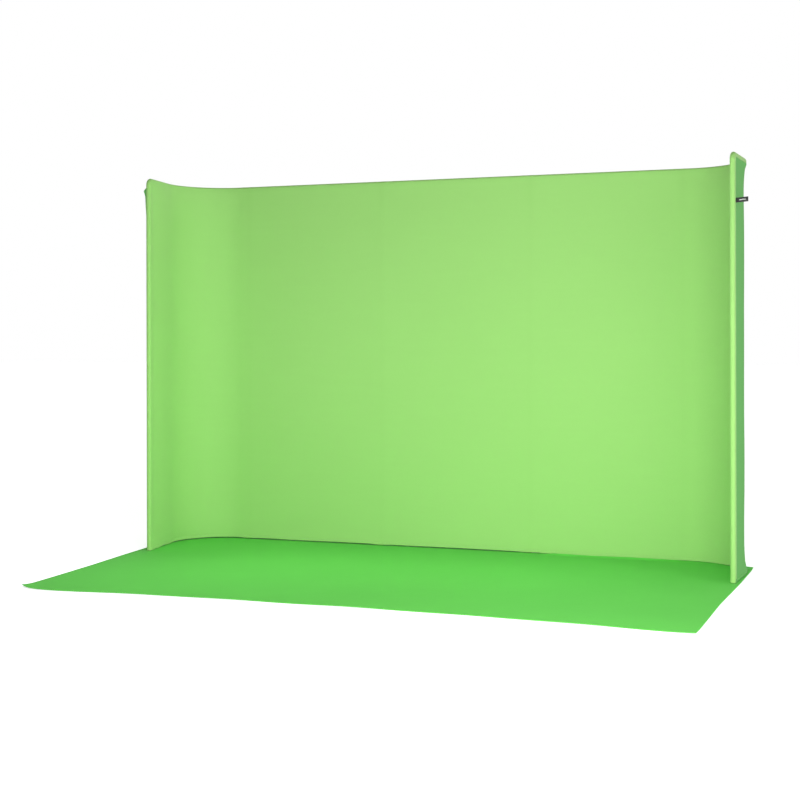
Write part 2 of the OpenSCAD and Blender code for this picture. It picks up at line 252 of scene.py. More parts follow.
# ---------------------------------------------------------------- material helpers
class Nodes:
    def __init__(self, name):
        self.mat = bpy.data.materials.new(name)
        self.mat.use_nodes = True
        self.nt = self.mat.node_tree
        self.nt.nodes.clear()
        self.out = self.add("ShaderNodeOutputMaterial")
        self.bsdf = self.add("ShaderNodeBsdfPrincipled")
        self.link(self.bsdf.outputs[0], self.out.inputs[0])

    def add(self, kind, **kw):
        n = self.nt.nodes.new(kind)
        for k, v in kw.items():
            setattr(n, k, v)
        return n

    def link(self, a, b):
        self.nt.links.new(a, b)

    def set(self, **kw):
        for k, v in kw.items():
            self.bsdf.inputs[k.replace("_", " ")].default_value = v

    def math(self, op, a, b=None, c=None, clamp=False):
        n = self.add("ShaderNodeMath", operation=op, use_clamp=clamp)
        for i, v in enumerate((a, b, c)):
            if v is None:
                continue
            if hasattr(v, "is_output") or hasattr(v, "links"):
                self.link(v, n.inputs[i])
            else:
                n.inputs[i].default_value = v
        return n.outputs[0]

    def noise(self, vec, scale, detail=2.0, rough=0.5, dim="3D"):
        n = self.add("ShaderNodeTexNoise", noise_dimensions=dim)
        n.inputs["Scale"].default_value = scale
        n.inputs["Detail"].default_value = detail
        n.inputs["Roughness"].default_value = rough
        self.link(vec, n.inputs["Vector"])
        return n.outputs[0]

    def mapped(self, vec, scale=(1, 1, 1), loc=(0, 0, 0), rot=(0, 0, 0)):
        n = self.add("ShaderNodeMapping")
        n.inputs["Scale"].default_value = scale
        n.inputs["Location"].default_value = loc
        n.inputs["Rotation"].default_value = rot
        self.link(vec, n.inputs["Vector"])
        return n.outputs[0]

    def obj_co(self):
        return self.add("ShaderNodeTexCoord").outputs["Object"]

    def uv_co(self):
        n = self.add("ShaderNodeUVMap")
        n.uv_map = "cloth"
        return n.outputs[0]

    def ramp(self, fac, stops):
        n = self.add("ShaderNodeValToRGB")
        e = n.color_ramp.elements
        while len(e) < len(stops):
            e.new(0.5)
        for el, (p, c) in zip(e, stops):
            el.position = p
            el.color = (*c, 1.0)
        self.link(fac, n.inputs[0])
        return n.outputs[0]

    def mix(self, fac, a, b, blend="MIX"):
        n = self.add("ShaderNodeMix", data_type="RGBA", blend_type=blend)
        for sock, v in ((n.inputs[0], fac), (n.inputs[6], a), (n.inputs[7], b)):
            if hasattr(v, "links"):
                self.link(v, sock)
            elif isinstance(v, (int, float)):
                sock.default_value = v
            else:
                sock.default_value = (*v, 1.0)
        return n.outputs[2]

    def bump(self, height, distance, strength=1.0, normal=None):
        n = self.add("ShaderNodeBump")
        n.inputs["Strength"].default_value = strength
        n.inputs["Distance"].default_value = distance
        self.link(height, n.inputs["Height"])
        if normal is not None:
            self.link(normal, n.inputs["Normal"])
        return n.outputs[0]

    def colour(self, c):
        self.link(c, self.bsdf.inputs["Base Color"])

    def normal(self, n):
        self.link(n, self.bsdf.inputs["Normal"])

    def roughness(self, r):
        self.link(r, self.bsdf.inputs["Roughness"])


def scaled(c, k):
    return tuple(min(x * k, 1.0) for x in c)


def knit_cloth(name, base, deep, wale=0.0011, course=0.0009, sheen=0.30, rough=0.82, tint=(0.95, 1.0, 0.75),
               broad_amount=0.05, painted_shade=True, bump=0.00010):
    """Stretch warp knit: columns of small loops, fibre-level colour variation, a soft sheen."""
    m = Nodes(name)
    uv = m.uv_co()
    sep = m.add("ShaderNodeSeparateXYZ")
    m.link(uv, sep.inputs[0])
    u, v = sep.outputs[0], sep.outputs[1]
    wob = m.noise(uv, 900.0, 2.0)
    uu = m.math("ADD", u, m.math("MULTIPLY", wob, 0.00018))
    col = m.math("ABSOLUTE", m.math("SINE", m.math("MULTIPLY", uu, math.pi / wale)))
    # loops lean one way, then the other, along each column
    lean = m.math("MULTIPLY", m.math("PINGPONG", m.math("MULTIPLY", u, 1.0 / wale), 1.0), 0.6)
    row = m.math("ABSOLUTE", m.math("SINE", m.math("MULTIPLY", m.math("ADD", m.math("MULTIPLY", v, 1.0 / course), lean), math.pi)))
    loops = m.math("MULTIPLY", m.math("POWER", col, 0.6), m.math("ADD", m.math("MULTIPLY", row, 0.55), 0.45))
    fibre = m.noise(m.mapped(uv, (1600, 5200, 1)), 1.0, 3.0, 0.6)
    patch = m.noise(uv, 1.3, 3.0, 0.55)
    slub = m.noise(m.mapped(uv, (3.0, 26.0, 1)), 1.0, 3.0, 0.6)
    fac = m.math("ADD", m.math("MULTIPLY", loops, 0.72), m.math("MULTIPLY", fibre, 0.28))
    c = m.mix(fac, deep, base)
    c = m.mix(m.math("MULTIPLY", m.math("SUBTRACT", patch, 0.35, clamp=True), broad_amount * 4, clamp=True), c, scaled(deep, 0.97))
    c = m.mix(m.math("MULTIPLY", m.math("SUBTRACT", slub, 0.45, clamp=True), 0.18, clamp=True), c, scaled(base, 1.10))
    # painted shade: the cloth is darkened towards its deep colour by the mesh attribute that marks the tubes and rails
    # behind it
    if painted_shade:
        at = m.add("ShaderNodeAttribute", attribute_name="painted_shade", attribute_type="GEOMETRY")
        c = m.mix(m.math("MULTIPLY", at.outputs["Fac"], 0.35, clamp=True), c, scaled(deep, 0.90))
    m.colour(c)
    m.roughness(m.math("ADD", m.math("MULTIPLY", fibre, 0.14), rough - 0.07))
    m.normal(m.bump(loops, bump, 0.55, m.bump(fibre, bump * 0.5, 0.35)))
    m.set(Sheen_Weight=sheen, Sheen_Roughness=0.45, Sheen_Tint=(*tint, 1.0), IOR=1.42)
    m.bsdf.inputs["Specular IOR Level"].default_value = 0.25
    return m.mat


def nap_cloth(name, base, deep, sheen=0.25):
    """Brushed floor cloth: short nap over a plain weave, with soft foot-worn variation."""
    m = Nodes(name)
    co = m.uv_co()
    weave = m.add("ShaderNodeTexWave", wave_type="BANDS", bands_direction="X")
    weave.inputs["Scale"].default_value = 210.0
    weave.inputs["Distortion"].default_value = 1.2
    weave.inputs["Detail Scale"].default_value = 6.0
    m.link(co, weave.inputs["Vector"])
    weave2 = m.add("ShaderNodeTexWave", wave_type="BANDS", bands_direction="Y")
    weave2.inputs["Scale"].default_value = 210.0
    weave2.inputs["Distortion"].default_value = 1.2
    weave2.inputs["Detail Scale"].default_value = 6.0
    m.link(co, weave2.inputs["Vector"])
    yarn = m.math("MULTIPLY", weave.outputs["Fac"], weave2.outputs["Fac"])
    nap = m.noise(co, 1500.0, 4.0, 0.65)
    lie = m.noise(m.mapped(co, (9, 120, 1)), 1.0, 3.0, 0.6)
    patch = m.noise(co, 2.2, 4.0, 0.6)
    fac = m.math("ADD", m.math("MULTIPLY", yarn, 0.35), m.math("MULTIPLY", nap, 0.65))
    c = m.mix(fac, deep, base)
    c = m.mix(m.math("MULTIPLY", m.math("SUBTRACT", patch, 0.42, clamp=True), 0.55, clamp=True), c, scaled(base, 1.09))
    c = m.mix(m.math("MULTIPLY", m.math("SUBTRACT", lie, 0.5, clamp=True), 0.5, clamp=True), c, scaled(deep, 1.0))
    m.colour(c)
    m.roughness(m.math("ADD", m.math("MULTIPLY", nap, 0.12), 0.82))
    m.normal(m.bump(nap, 0.00035, 0.55, m.bump(yarn, 0.00018, 0.6)))
    m.set(Sheen_Weight=sheen, Sheen_Roughness=0.5, Sheen_Tint=(0.80, 1.0, 0.72, 1.0), IOR=1.42)
    m.bsdf.inputs["Specular IOR Level"].default_value = 0.10
    return m.mat


def metal(name, colour, rough, stretch=(1, 1, 1), scratch=0.06, coat=0.0):
    """Satin metal with drawn lines along one direction and fine handling marks."""
    m = Nodes(name)
    co = m.obj_co()
    drawn = m.noise(m.mapped(co, stretch), 1.0, 4.0, 0.7)
    marks = m.noise(co, 55.0, 5.0, 0.75)
    dust = m.noise(co, 9.0, 3.0, 0.6)
    c = m.mix(drawn, scaled(colour, 0.90), scaled(colour, 1.04))
    c = m.mix(m.math("MULTIPLY", m.math("SUBTRACT", dust, 0.5, clamp=True), 0.5), c, scaled(colour, 0.84))
    m.colour(c)
    r = m.math("ADD", m.math("MULTIPLY", drawn, scratch * 2), m.math("MULTIPLY", marks, scratch))
    m.roughness(m.math("ADD", r, rough - scratch))
    m.normal(m.bump(drawn, 0.00004, 0.35, m.bump(marks, 0.00005, 0.2)))
    m.set(Metallic=1.0)
    m.bsdf.inputs["Coat Weight"].default_value = coat
    return m.mat


def moulded(name, colour, light, rough=0.52):
    """Glass-filled nylon: spark-eroded grain, slightly lighter where it rubs."""
    m = Nodes(name)
    co = m.obj_co()
    grain = m.noise(co, 2600.0, 3.0, 0.6)
    flow = m.noise(co, 30.0, 3.0, 0.6)
    geo = m.add("ShaderNodeNewGeometry")
    edge = m.math("MULTIPLY", m.math("SUBTRACT", geo.outputs["Pointiness"], 0.52, clamp=True), 9.0, clamp=True)
    c = m.mix(grain, colour, scaled(colour, 1.35))
    c = m.mix(m.math("MULTIPLY", flow, 0.3), c, scaled(colour, 1.6))
    c = m.mix(m.math("MULTIPLY", edge, 0.5), c, light)
    m.colour(c)
    m.roughness(m.math("ADD", m.math("MULTIPLY", grain, 0.16), rough - 0.08))
    m.normal(m.bump(grain, 0.00006, 0.5, m.bump(flow, 0.0002, 0.08)))
    m.set(IOR=1.53)
    return m.mat


def tape_cloth(name, base, deep):
    """Zip tape: fine herringbone weave with a firmer woven edge."""
    m = Nodes(name)
    uv = m.uv_co()
    sep = m.add("ShaderNodeSeparateXYZ")
    m.link(uv, sep.inputs[0])
    u, v = sep.outputs[0], sep.outputs[1]
    zig = m.math("PINGPONG", m.math("MULTIPLY", u, 1 / 0.0019), 1.0)
    tw = m.math("SINE", m.math("MULTIPLY", m.math("ADD", m.math("MULTIPLY", v, 1 / 0.0007), m.math("MULTIPLY", zig, 1.4)), 2 * math.pi))
    tw = m.math("MULTIPLY_ADD", tw, 0.5, 0.5)
    warp = m.math("MULTIPLY_ADD", m.math("SINE", m.math("MULTIPLY", u, 2 * math.pi / 0.00045)), 0.5, 0.5)
    h = m.math("MULTIPLY", tw, m.math("MULTIPLY_ADD", warp, 0.4, 0.6))
    fibre = m.noise(m.mapped(uv, (4000, 1200, 1)), 1.0, 2.0, 0.6)
    c = m.mix(m.math("ADD", m.math("MULTIPLY", h, 0.75), m.math("MULTIPLY", fibre, 0.25)), deep, base)
    m.colour(c)
    m.roughness(m.math("ADD", m.math("MULTIPLY", fibre, 0.1), 0.74))
    m.normal(m.bump(h, 0.00012, 0.7))
    m.set(Sheen_Weight=0.2, Sheen_Roughness=0.4, IOR=1.45)
    m.bsdf.inputs["Specular IOR Level"].default_value = 0.3
    return m.mat


def thread_mat(name, base):
    m = Nodes(name)
    co = m.obj_co()
    ply = m.noise(m.mapped(co, (3000, 3000, 9000)), 1.0, 2.0, 0.6)
    c = m.mix(ply, scaled(base, 0.80), scaled(base, 1.12))
    m.colour(c)
    m.roughness(m.math("ADD", m.math("MULTIPLY", ply, 0.2), 0.45))
    m.normal(m.bump(ply, 0.00005, 0.5))
    m.set(Sheen_Weight=0.25, Sheen_Roughness=0.3)
    return m.mat


# ---------------------------------------------------------------- materials
WALL = (0.347, 0.656, 0.197)
WALL_DEEP = (0.280, 0.589, 0.145)
# the back sheet is the same cloth as the front: these darker, greener colours are painted shade for the side turned
# away from the lamps
REAR_PAINTED_SHADE = (0.155, 0.510, 0.122)
REAR_DEEP_PAINTED_SHADE = (0.125, 0.450, 0.096)
MAT_G = (0.155, 0.700, 0.100)
MAT_DEEP = (0.112, 0.612, 0.072)

cover_mat = knit_cloth("cover_knit", WALL, WALL_DEEP)
# the back sheet, its hem and the seam flap get the painted-shade colours
rear_painted_shade_mat = knit_cloth("cover_knit_rear_painted_shade", REAR_PAINTED_SHADE, REAR_DEEP_PAINTED_SHADE, sheen=0.06, tint=(0.9, 1.0, 0.8))
hem_mat = knit_cloth("hem_knit", scaled(WALL, 0.99), scaled(WALL_DEEP, 0.98), broad_amount=0.02, painted_shade=False)
hem_rear_painted_shade_mat = knit_cloth("hem_knit_rear_painted_shade", REAR_PAINTED_SHADE, REAR_DEEP_PAINTED_SHADE, sheen=0.06, tint=(0.9, 1.0, 0.8), broad_amount=0.02, painted_shade=False)
thread = thread_mat("sewing_thread", (0.45, 0.86, 0.27))
floor_cloth = nap_cloth("floor_nap", MAT_G, MAT_DEEP, sheen=0.05)
tape_mat = tape_cloth("zip_tape_weave", (0.30, 0.68, 0.16), (0.20, 0.54, 0.10))
coil_mat = moulded("zip_coil_nylon", (0.22, 0.62, 0.12), (0.45, 0.85, 0.32), 0.38)
alu_v = metal("drawn_tube_upright", (0.50, 0.51, 0.53), 0.36, (900, 900, 6))
alu_h = metal("drawn_tube_level", (0.50, 0.51, 0.53), 0.36, (6, 900, 900))
alu_b = metal("bent_tube", (0.50, 0.51, 0.53), 0.38, (120, 120, 900))
spring = metal("spring_strip", (0.62, 0.63, 0.66), 0.24, (900, 40, 900), 0.05)
rivet_m = metal("rivet_alloy", (0.70, 0.71, 0.72), 0.34, (200, 200, 200), 0.08)
zip_m = metal("lacquered_zip_metal", (0.060, 0.062, 0.066), 0.36, (300, 300, 300), 0.08, 0.5)
stop_m = metal("zip_stop_metal", (0.34, 0.36, 0.36), 0.34, (300, 300, 300), 0.08)
nylon = moulded("connector_nylon", (0.018, 0.018, 0.020), (0.09, 0.09, 0.095))


def dress(names, mat):
    for n in names:
        o = NODES[n]
        o.data.materials.clear() if False else None
        if not o.material_slots:
            continue
        for s in o.material_slots:
            s.material = mat


all_nodes = list(NODES)
dress([n for n in all_nodes if "_post_" in n or n == "post_join_spigots"], alu_v)
dress([n for n in all_nodes if n.endswith(("tube_left", "tube_middle", "tube_right")) and "corner" not in n], alu_h)
dress([n for n in all_nodes if "corner_tube" in n], alu_b)
dress([n for n in all_nodes if "_tee_" in n or "elbow" in n], nylon)
dress([n for n in all_nodes if "snap_button" in n], spring)
dress(["lower_rivets", "upper_rivets"], rivet_m)
dress(["zip_slider", "zip_pull"], zip_m)
dress(["zip_stops"], stop_m)

# ---------------------------------------------------------------- cover: stage-side sheet
M_IN = 0.060                          # width of the border strip that turns round the tubes


def columns():
    us = list(np.arange(-U_ARC, U_ARC + 1e-9, 2 * U_ARC / 96))
    for p in POSTS_U[1:-1]:
        us += [p + s * d for s in (-1, 1) for d in (0.0035, 0.007, 0.0105, 0.014, 0.018, 0.023, 0.030, 0.040)]
    n_arc = 30
    us += [s * (U_ARC + (U_WING - U_ARC) * i / n_arc) for s in (-1, 1) for i in range(1, n_arc + 1)]
    n_w = 9
    us += [s * (U_WING + (U_END - M_IN - 0.06 - U_WING) * i / n_w) for s in (-1, 1) for i in range(1, n_w + 1)]
    us += [s * (U_END - M_IN - 0.06 * (1 - i / 11)) for s in (-1, 1) for i in range(1, 12)]
    us = np.unique(np.round(us, 6))
    keep = [us[0]]
    for x in us[1:]:
        if x - keep[-1] > 0.0018:
            keep.append(x)
    keep[0], keep[-1] = -(U_END - M_IN), U_END - M_IN
    return np.array(keep)


def rows():
    z = [Z_LOW, 0.007, 0.012, 0.0175, 0.0225, 0.028, 0.036, 0.048, 0.064, 0.085, 0.11, 0.14]
    top = TOP_Z - M_IN
    n = 62
    z += [0.14 + (top - 0.08 - 0.14) * i / n for i in range(1, n + 1)]
    z += [top - 0.066, top - 0.06] + [top - 0.06 * (1 - i / 11) for i in range(1, 12)]
    return np.array(z)


US, ZS = columns(), rows()
CORNER_R = Z_ELBOW                     # elbow's centreline radius


def border(us, zs):
    """Points round the inner grid's left, top and right edges, and the matching points and outward directions on the frame's outline."""
    nz, nu = len(zs), len(us)
    ins = [(us[0], z) for z in zs] + [(u, zs[-1]) for u in us[1:-1]] + [(us[-1], z) for z in zs[::-1]]
    idx = [i * nu for i in range(nz)] + [(nz - 1) * nu + j for j in range(1, nu - 1)] + [i * nu + nu - 1 for i in range(nz - 1, -1, -1)]
    A = (TOP_Z - CORNER_R) - Z_LOW
    arc = math.pi / 2 * CORNER_R
    top = 2 * (U_END - CORNER_R)
    total = 2 * A + 2 * arc + top
    zk = TOP_Z - 2 * M_IN              # below this the match is straight across
    t1 = zk - Z_LOW
    t2 = A + arc + (2 * M_IN - CORNER_R)

    def t_left(u, z):
        if z <= zk + 1e-9 and u <= us[0] + 1e-9:
            return z - Z_LOW
        run = ((z - zk) + (u - us[0])) / (2 * M_IN)
        if run <= 1.0:                 # most of the points here go round the elbow
            return float(np.interp(run, (0.0, 0.22, 0.78, 1.0), (t1, A - 0.004, A + arc + 0.004, t2)))
        return A + arc + (u + U_END - CORNER_R)

    ts = []
    for u, z in ins:
        ts.append(t_left(u, z) if u <= 0 else total - t_left(-u, z))
    pts, nrm = [], []
    for t in ts:
        flipx = 1.0
        if t > total / 2:
            t, flipx = total - t, -1.0
        if t <= A:
            p, n = (-U_END, Z_LOW + t), (-1.0, 0.0)
        elif t <= A + arc:
            a = (t - A) / CORNER_R
            n = (-math.cos(a), math.sin(a))
            p = (-(U_END - CORNER_R) + CORNER_R * n[0], TOP_Z - CORNER_R + CORNER_R * n[1])
        else:
            p, n = (-(U_END - CORNER_R) + (t - A - arc), TOP_Z), (0.0, 1.0)
        pts.append((flipx * p[0], p[1]))
        nrm.append((flipx * n[0], n[1]))
    return np.array(ins), np.array(idx), np.array(pts), np.array(nrm)


def lift_z(u, z):
    return z + hem_lift(u) * (1 - smooth(z, 0.02, 0.10))


def painted_shade_at(u, z):
    """Painted shade, 0 to 1: how far the cloth is darkened in a band just to one side of each post, along the top and
    bottom rails and at the posts' mid-height joints, where the tubes behind it show as shade.
    """
    d = post_distance(u)
    off = np.min(np.abs(np.asarray(u, float)[..., None] - (POSTS_U + 0.016)), axis=-1)
    p = np.exp(-(off / 0.024) ** 2) * 0.34 * (0.55 + 0.75 * smooth(z, 1.90, 2.14))
    joint = np.exp(-((z - 1.1) / 0.004) ** 2) * np.exp(-(d / 0.014) ** 2) * 0.3
    rail = np.exp(-((z - TOP_Z) / 0.016) ** 2) * 0.45 + np.exp(-((z - LOW_Z) / 0.012) ** 2) * 0.25
    return np.clip(p + rail + joint, 0, 1)


def build_front():
    Ug, Zg = np.meshgrid(US, ZS)
    P = world(Ug, lift_z(Ug, Zg), front_y(Ug, Zg)).reshape(-1, 3)
    UV = np.stack([Ug, Zg], -1).reshape(-1, 2)
    # painted shade beside the tubes, handed to the material as a mesh attribute
    P_SHADE = painted_shade_at(Ug, Zg).ravel()
    faces = grid_faces(len(ZS), len(US))
    ins, idx, pts, nrm = border(US, ZS)
    nb = len(idx)
    V, UVs, P_SHADES = [P], [UV], [P_SHADE]
    # across the flat border, then half way round the tube, then a little down the back
    steps = []
    for f in (0.2, 0.4, 0.58, 0.74, 0.87, 0.95, 1.0):
        steps.append(("flat", f))
    for k in range(1, 15):
        steps.append(("rim", -math.pi / 2 + math.pi * k / 14))
    for d in (0.0045, 0.009, SEAM_S):
        steps.append(("back", d))
    width = 0.0
    for kind, s in steps:
        if kind == "flat":
            p = ins * (1 - s) + pts * s
            y0 = front_y(p[:, 0], p[:, 1])
            y = y0 * (1 - smooth(s, 0.6, 1.0)) + (-R_COVER) * smooth(s, 0.6, 1.0)
            uvp = p
        elif kind == "rim":
            p = pts + nrm * (R_COVER * math.cos(s))
            y = np.full(nb, R_COVER * math.sin(s))
            uvp = pts + nrm * (R_COVER * (s + math.pi / 2))
        else:
            p = pts - nrm * s
            y = np.full(nb, R_COVER)
            uvp = pts + nrm * (R_COVER * math.pi + s)
        bump = 0.0
        if kind != "back":
            # the tubes' joints show as slight steps along the top rail
            for jx in (-1.311, -1.359, -0.482, -0.434, 0.434, 0.482, 1.311, 1.359):
                bump = bump + 0.00045 * np.exp(-((pts[:, 0] - jx) / 0.010) ** 2) * (pts[:, 1] > TOP_Z - 0.001)
        zz = lift_z(pts[:, 0], p[:, 1]) + bump
        V.append(world(p[:, 0], zz, y))
        UVs.append(uvp)
        P_SHADES.append(painted_shade_at(p[:, 0], p[:, 1]) * (1.0 if kind == "flat" else 0.8))
    base = len(P)
    ring = [idx] + [base + k * nb + np.arange(nb) for k in range(len(steps))]
    for a, b in zip(ring[:-1], ring[1:]):
        for i in range(nb - 1):
            faces.append((int(a[i]), int(a[i + 1]), int(b[i + 1]), int(b[i])))
    o = mesh_piece("cover_stage_cloth", np.vstack(V), faces, cover_mat, np.vstack(UVs), True, {"painted_shade": np.concatenate(P_SHADES)})
    thicken(o, CLOTH_T)
    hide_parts("cover_front")
    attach(o, "cover")
    return o


def build_rear():
    us, zs = US, ZS
    Ug, Zg = np.meshgrid(us, zs)
    P = world(Ug, lift_z(Ug, Zg), rear_y(Ug, Zg)).reshape(-1, 3)
    UV = np.stack([Ug + 7.3, Zg], -1).reshape(-1, 2)
    # painted shade beside the tubes, handed to the material as a mesh attribute
    P_SHADE = painted_shade_at(Ug, Zg).ravel()
    faces = grid_faces(len(zs), len(us), flip=True)
    ins, idx, pts, nrm = border(us, zs)
    nb = len(idx)
    left = nrm[:, 0] < -0.999
    gap = np.where(left, SEAM_S + (0.0267 - SEAM_S) * (1 - smooth(pts[:, 1], 2.128, 2.150)), SEAM_S)
    edge = pts - nrm * gap[:, None]
    V, UVs, P_SHADES = [P], [UV], [P_SHADE]
    steps = [("flat", f) for f in (0.25, 0.5, 0.72, 0.88, 0.985)] + [("tuck", 0.0), ("tuck", 0.0028)]
    for kind, s in steps:
        if kind == "flat":
            p = ins * (1 - s) + edge * s
            y = rear_y(p[:, 0], p[:, 1]) * (1 - smooth(s, 0.5, 0.98)) + R_COVER * smooth(s, 0.5, 0.98)
        else:
            p = edge + nrm * s
            y = np.full(nb, R_COVER - (0.0005 if s == 0.0 else 0.0010))
        V.append(world(p[:, 0], lift_z(pts[:, 0], p[:, 1]), y))
        UVs.append(p + np.array([7.3, 0.0]))
        P_SHADES.append(painted_shade_at(p[:, 0], p[:, 1]))
    base = len(P)
    ring = [idx] + [base + k * nb + np.arange(nb) for k in range(len(steps))]
    for a, b in zip(ring[:-1], ring[1:]):
        for i in range(nb - 1):
            faces.append((int(b[i]), int(b[i + 1]), int(a[i + 1]), int(a[i])))
    o = mesh_piece("cover_back_cloth", np.vstack(V), faces, rear_painted_shade_mat, np.vstack(UVs), True, {"painted_shade": np.concatenate(P_SHADES)})
    thicken(o, CLOTH_T)
    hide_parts("cover_rear", "cover_top")
    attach(o, "cover")
    return o


# ---------------------------------------------------------------- hem, seams and their stitches
def hem_path():
    """u and side offset direction all the way round, from the zip on the left back to the zip."""
    pts = []                           # (u, y, nu, ny, s)
    u0, u1 = -(U_END - 0.0322), U_END
    n = 300
    for i in range(n + 1):
        u = u0 + (u1 - u0) * i / n
        pts.append((u, 1.0, 0.0, 1.0))
    for k in range(1, 16):
        a = math.pi / 2 - math.pi * k / 16
        pts.append((U_END, None, math.cos(a), math.sin(a)))
    for i in range(n + 1):
        u = u1 - (u1 + U_END) * i / n
        pts.append((u, -1.0, 0.0, -1.0))
    for k in range(1, 16):
        a = -math.pi / 2 - math.pi * k / 16
        pts.append((-U_END, None, math.cos(a), math.sin(a)))
    for i in range(3):
        pts.append((-U_END + 0.0078 * i / 2, 1.0, 0.0, 1.0))
    return np.array([(p[0], p[2], p[3]) for p in pts])


HEM = hem_path()


def on_hem(r, z):
    u = HEM[:, 0] + HEM[:, 1] * r
    y = HEM[:, 2] * r
    # the curved corners follow the rails here, so only a little waist shows at hem height
    w = corner_waist(HEM[:, 0], np.full(len(HEM), z)) * (HEM[:, 1] == 0)
    return world(u, z + hem_lift(HEM[:, 0]), y - w)


def build_hem():
    prof = [(R_COVER - 0.0009, 0.0100), (R_COVER - 0.0011, 0.0060), (R_COVER - 0.0009, Z_LOW + 0.0009), (R_COVER - 0.0003, Z_LOW + 0.00025),
            (R_COVER + 0.0003, Z_LOW + 0.0002), (R_COVER + 0.00075, Z_LOW + 0.0008), (R_COVER + 0.00085, 0.0070),
            (R_COVER + 0.00088, 0.0110), (R_COVER + 0.00070, 0.0148), (R_COVER + 0.00058, 0.0158), (R_COVER + 0.00072, 0.0168),
            (R_COVER + 0.00080, 0.0190), (R_COVER + 0.00070, 0.0210), (R_COVER + 0.00020, 0.0220), (R_COVER - 0.0002, 0.0218)]
    rowsP = [on_hem(r, z) for r, z in prof]
    step = np.linalg.norm(np.diff(rowsP[7], axis=0), axis=1)
    s = np.concatenate([[0], np.cumsum(step)])
    pr = np.cumsum([0] + [math.dist(a, b) for a, b in zip(prof[:-1], prof[1:])])
    V = np.vstack(rowsP)
    UV = np.vstack([np.stack([s, np.full(len(s), v + 0.3)], -1) for v in pr])
    ncol = len(HEM)
    faces = grid_faces(len(prof), ncol, flip=False)
    o = mesh_piece("cover_hem_band", V, faces, hem_mat, UV)
    o.data.materials.append(hem_rear_painted_shade_mat)
    # the hem's outward face takes the back sheet's painted-shade colour
    for poly in o.data.polygons:
        col = poly.vertices[0] % ncol
        if HEM[col, 2] > 0.93:
            poly.material_index = 1
    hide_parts("cover_hem")
    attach(o, "cover")
    return o, s


def stitch_run(path, out_dir, length=0.0026, gap=0.0008, width=0.00055, rise=0.00035, slant=0.0):
    """Small rounded stitches along a path of points; out_dir is the outward direction at each point."""
    d = np.linalg.norm(np.diff(path, axis=0), axis=1)
    s = np.concatenate([[0], np.cumsum(d)])
    pitch = length + gap
    n = int(s[-1] / pitch)
    c = (np.arange(n) + 0.5) * pitch
    V, F = [], []

    def at(x):
        return np.stack([np.interp(x, s, path[:, k]) for k in range(3)], -1)

    a, b = at(c - length / 2), at(c + length / 2)
    o = np.stack([np.interp(c, s, out_dir[:, k]) for k in range(3)], -1)
    o /= np.linalg.norm(o, axis=1)[:, None]
    t = b - a
    t /= np.linalg.norm(t, axis=1)[:, None] + 1e-12
    w = np.cross(t, o)
    m1, m2 = a * 0.72 + b * 0.28, a * 0.28 + b * 0.72
    sl = w * slant
    verts = np.stack([a - o * 0.0001 - sl, m1 + w * width / 2 - sl * 0.4, m1 + o * rise - sl * 0.4, m1 - w * width / 2 - sl * 0.4,
                      m2 + w * width / 2 + sl * 0.4, m2 + o * rise + sl * 0.4, m2 - w * width / 2 + sl * 0.4, b - o * 0.0001 + sl,
                      (m1 + m2) / 2 - o * 0.0001], 1)
    base = (np.arange(n) * 9)[:, None]
    tri = np.array([(0, 2, 1), (0, 3, 2), (7, 4, 5), (7, 5, 6), (0, 1, 8), (0, 8, 3), (7, 8, 4), (7, 6, 8), (1, 4, 8), (3, 8, 6)])
    quad = np.array([(1, 2, 5, 4), (2, 3, 6, 5)])
    for row in base.ravel():
        F += [tuple(row + x) for x in tri]
        F += [tuple(row + x) for x in quad]
    return verts.reshape(-1, 3), F


def gather(runs):
    V, F, k = [], [], 0
    for v, f in runs:
        V.append(v)
        F += [tuple(i + k for i in x) for x in f]
        k += len(v)
    return np.vstack(V), F


front = build_front()
rear = build_rear()
hem, hem_s = build_hem()


def hem_out():
    c, n = plan(HEM[:, 0])
    t = np.stack([n[:, 1], -n[:, 0]], -1)
    d = t * HEM[:, 1:2] + n * HEM[:, 2:3]
    return np.concatenate([d, np.zeros((len(d), 1))], 1)


runs = [stitch_run(on_hem(R_COVER + 0.00060, 0.0158), hem_out()),
        stitch_run(on_hem(R_COVER + 0.00078, 0.0192), hem_out())]
v, f = gather(runs)
hem_st = mesh_piece("hem_stitches", v, f, thread)
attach(hem_st, "cover")

# lapped seam of the back panel, down the right wing, along the top and down to the zip
ins, idx, pts, nrm = border(US, ZS)
left_n = nrm[:, 0] < -0.999
sel = ~(left_n & (pts[:, 1] < 2.150))
sp, sn = pts[sel], nrm[sel]


def seam_line(d, r):
    p = sp - sn * d
    return world(p[:, 0], lift_z(sp[:, 0], p[:, 1]), np.full(len(p), r))


c_, n_ = plan((sp - sn * SEAM_S)[:, 0])
seam_out = np.concatenate([n_, np.zeros((len(n_), 1))], 1)
v, f = gather([stitch_run(seam_line(SEAM_S - 0.0016, R_COVER + 0.00005), seam_out),
               stitch_run(seam_line(SEAM_S + 0.0022, R_COVER - 0.0001), seam_out, length=0.0022, gap=0.0010)])
seam_st = mesh_piece("seam_stitches", v, f, thread)
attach(seam_st, "cover")

# ---------------------------------------------------------------- zip
FACE = 0.0141                         # tape's inner face, off the centreline


def wing_left(s, off, z):
    """A point behind the left end post's axis by s, off the centreline by off."""
    return world(-(U_END - np.asarray(s, float)), z, off)


